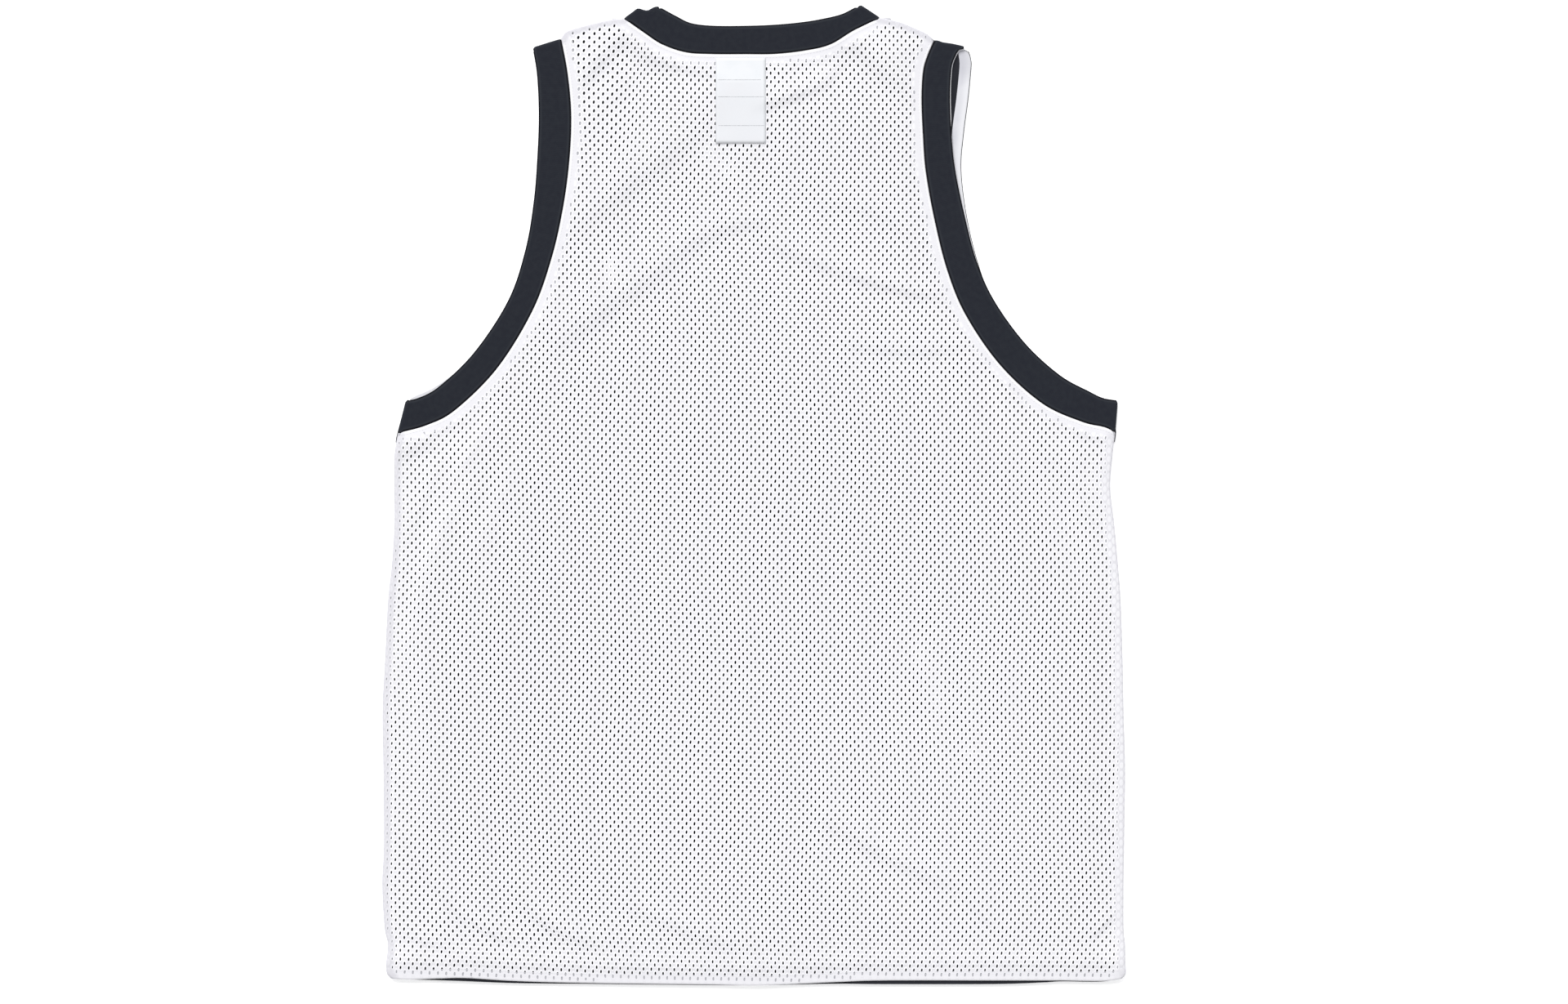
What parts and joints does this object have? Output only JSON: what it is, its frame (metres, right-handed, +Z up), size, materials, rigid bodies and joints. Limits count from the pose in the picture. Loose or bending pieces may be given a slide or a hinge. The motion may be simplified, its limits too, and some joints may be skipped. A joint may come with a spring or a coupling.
{
  "type": "basketball jersey",
  "caption": "Sleeveless mesh basketball jersey laid flat with its back up, with dark neck and arm bands, a dark inner cloth and a plain neck label.",
  "frame": {"origin": "middle of the laid garment's footprint, on the surface that it rests on", "axes": "+Y from the hem to the neck, +X across the garment to the picture's right, +Z up out of the surface"},
  "size_m": [0.6179, 0.817, 0.008],
  "materials": {
    "mesh": "white polyester mesh with small oval holes",
    "shell": "near-black smooth polyester knit",
    "band": "near-black fine rib knit",
    "facing": "white knit tape",
    "label": "white satin"
  },
  "bodies": {
    "root": {"front_mesh": "mesh", "front_shell": "shell", "back_shell": "shell", "back_mesh": "mesh", "neck_band": "band", "arm_band_left": "band", "arm_band_right": "band", "arm_facing_left": "facing", "arm_facing_right": "facing", "label": "label"}
  },
  "joints": []
}
